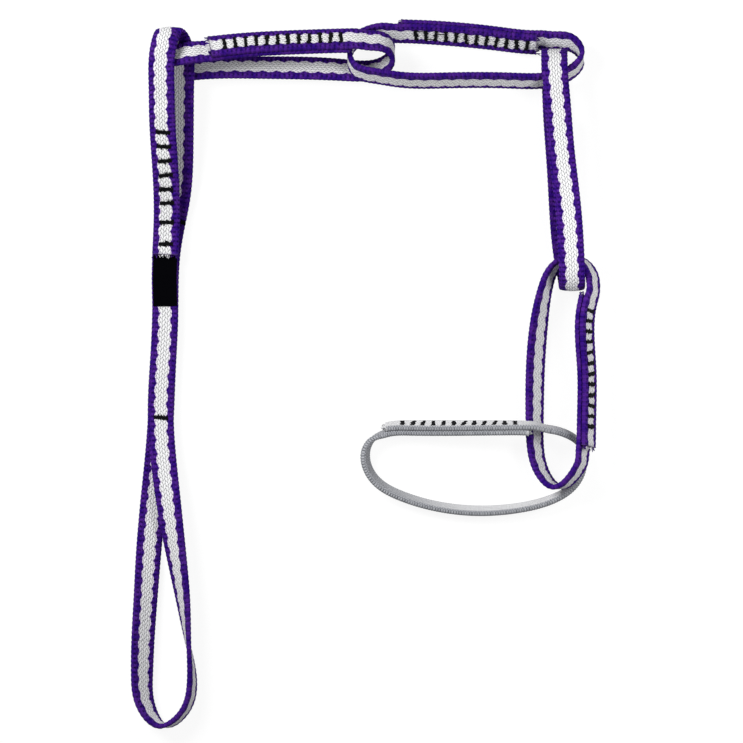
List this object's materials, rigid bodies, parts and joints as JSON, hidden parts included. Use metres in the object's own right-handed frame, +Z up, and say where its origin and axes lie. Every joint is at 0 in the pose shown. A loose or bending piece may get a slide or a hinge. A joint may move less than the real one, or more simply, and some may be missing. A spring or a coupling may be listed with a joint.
{
  "type": "personal anchor system",
  "caption": "Personal anchor of sewn webbing: a long tie-in loop with a half twist and a chain of bar-tacked loops hooked through each other, ending in a slim clip-in loop",
  "frame": {"origin": "middle of the laid-out anchor's bounding box, on the surface that it lies on", "axes": "+Z up from that surface, +Y along the tie-in loop towards the chain, +X towards the chain's far side"},
  "size_m": [0.2344, 0.353, 0.0278],
  "materials": {
    "violet_webbing": "woven, white centre between ribbed violet borders",
    "grey_webbing": "fine woven, matte",
    "black_thread": "satin-stitched thread",
    "black_label": "plain woven, matte"
  },
  "bodies": {
    "tie_in_loop": {"tie_in_webbing": "violet_webbing", "tie_in_needle_tacks": "black_thread", "tie_in_bobbin_tacks": "black_thread", "throat_needle_tacks": "black_thread", "throat_bobbin_tacks": "black_thread", "divider_needle_tack": "black_thread", "divider_bobbin_tack": "black_thread", "label": "black_label"},
    "first_link": {"first_link_webbing": "violet_webbing", "first_link_needle_tacks": "black_thread", "first_link_bobbin_tacks": "black_thread"},
    "second_link": {"second_link_webbing": "violet_webbing", "second_link_needle_tacks": "black_thread", "second_link_bobbin_tacks": "black_thread"},
    "third_link": {"third_link_webbing": "violet_webbing", "third_link_needle_tacks": "black_thread", "third_link_bobbin_tacks": "black_thread"},
    "fourth_link": {"fourth_link_webbing": "violet_webbing", "fourth_link_needle_tacks": "black_thread", "fourth_link_bobbin_tacks": "black_thread"},
    "end_link": {"end_link_webbing": "grey_webbing", "end_link_needle_tacks": "black_thread", "end_link_bobbin_tacks": "black_thread"}
  },
  "joints": [
    {"name": "first_link_swing", "type": "hinge", "parent": "tie_in_loop", "child": "first_link", "pos_m": [-0.0991, 0.15982, 0.012], "axis": [0, 0, 1], "range_deg": [-8, 4]},
    {"name": "second_link_swing", "type": "hinge", "parent": "first_link", "child": "second_link", "pos_m": [0.00305, 0.15982, 0.012], "axis": [0, 0, 1], "range_deg": [-8, 7]},
    {"name": "third_link_swing", "type": "hinge", "parent": "second_link", "child": "third_link", "pos_m": [0.0982, 0.15442, 0.012], "axis": [0, 0, 1], "range_deg": [-8, 16]},
    {"name": "fourth_link_swing", "type": "hinge", "parent": "third_link", "child": "fourth_link", "pos_m": [0.0989, 0.04829, 0.012], "axis": [0, 0, 1], "range_deg": [-8, 20]},
    {"name": "end_link_swing", "type": "hinge", "parent": "fourth_link", "child": "end_link", "pos_m": [0.0989, -0.04718, 0.012], "axis": [0, 0, 1], "range_deg": [-6, 16]}
  ]
}
